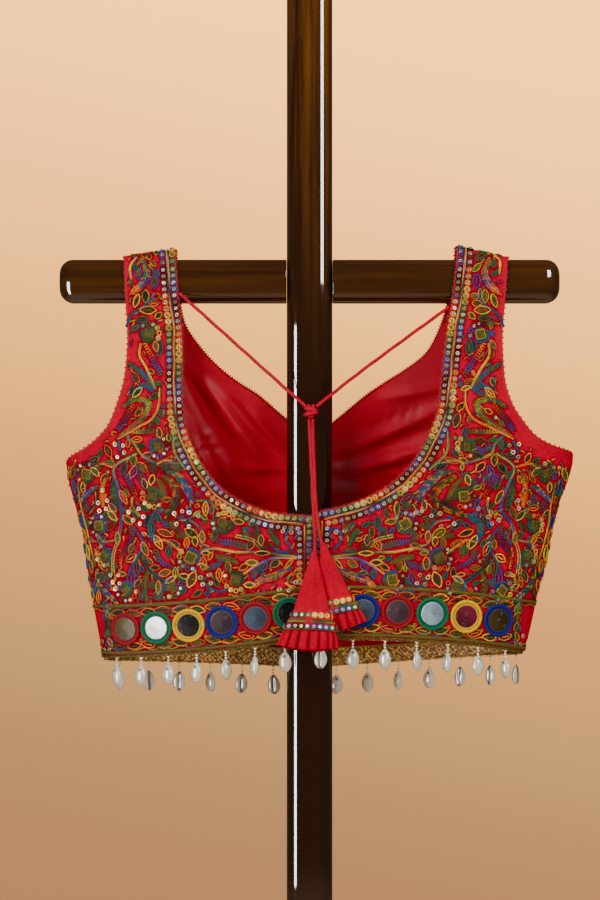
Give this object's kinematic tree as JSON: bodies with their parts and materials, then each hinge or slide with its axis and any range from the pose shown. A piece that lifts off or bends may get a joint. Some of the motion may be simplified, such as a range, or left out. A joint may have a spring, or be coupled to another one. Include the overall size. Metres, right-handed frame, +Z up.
{
  "type": "choli blouse on wooden cross stand",
  "caption": "Sleeveless embroidered choli blouse with a deep back neck, tie cord, tassels, mirrors and cowrie fringe, hung by its straps on a wooden cross stand.",
  "frame": {"origin": "centre of the stand base's underside", "axes": "+Z up the post, -Y out of the blouse's back, +X to the right of someone who looks at the back"},
  "size_m": [0.4515, 0.3, 1.06],
  "materials": {
    "dark_wood": "glossy dark brown stain",
    "red_cloth": "bright red cotton, embroidered all over in many colours",
    "red_satin": "smooth red satin",
    "gold_lace": "gold metallic lace",
    "cowrie_shell": "natural glossy shell",
    "red_cord": "red twisted cord",
    "rim_red": "mirror glass in a thick red thread ring",
    "rim_green": "mirror glass in a thick green thread ring",
    "rim_yellow": "mirror glass in a thick yellow thread ring",
    "rim_blue": "mirror glass in a thick blue thread ring"
  },
  "bodies": {
    "root": {"stand_post": "dark_wood", "stand_arm_left": "dark_wood", "stand_arm_right": "dark_wood", "stand_base": "dark_wood", "back_panel_left": "red_cloth", "back_panel_right": "red_cloth", "front_panel_left": "red_cloth", "front_panel_right": "red_cloth", "front_lining_left": "red_satin", "front_lining_right": "red_satin", "hem_lace_back_left": "gold_lace", "hem_lace_back_right": "gold_lace", "hem_lace_front_left": "gold_lace", "hem_lace_front_right": "gold_lace", "mirror_back_left_1": "rim_green", "mirror_back_left_2": "rim_red", "mirror_back_left_3": "rim_blue", "mirror_back_left_4": "rim_yellow", "mirror_back_left_5": "rim_green", "mirror_back_left_6": "rim_red", "mirror_back_right_1": "rim_yellow", "mirror_back_right_2": "rim_blue", "mirror_back_right_3": "rim_red", "mirror_back_right_4": "rim_green", "mirror_back_right_5": "rim_yellow", "mirror_back_right_6": "rim_blue", "mirror_front_left_1": "rim_yellow", "mirror_front_left_2": "rim_blue", "mirror_front_left_3": "rim_red", "mirror_front_left_4": "rim_green", "mirror_front_left_5": "rim_yellow", "mirror_front_left_6": "rim_blue", "mirror_front_right_1": "rim_green", "mirror_front_right_2": "rim_red", "mirror_front_right_3": "rim_blue", "mirror_front_right_4": "rim_yellow", "mirror_front_right_5": "rim_green", "mirror_front_right_6": "rim_red", "cowrie_fringe_back_left": "cowrie_shell", "cowrie_fringe_back_right": "cowrie_shell", "cowrie_fringe_front_left": "cowrie_shell", "cowrie_fringe_front_right": "cowrie_shell", "dori_left": "red_cord", "dori_right": "red_cord", "dori_tail_left": "red_cord", "dori_tail_right": "red_cord", "dori_knot": "red_cord", "tassel_cone_left": "red_cloth", "tassel_ruffle_left": "red_cloth", "tassel_cone_right": "red_cloth", "tassel_ruffle_right": "red_cloth"}
  },
  "joints": []
}
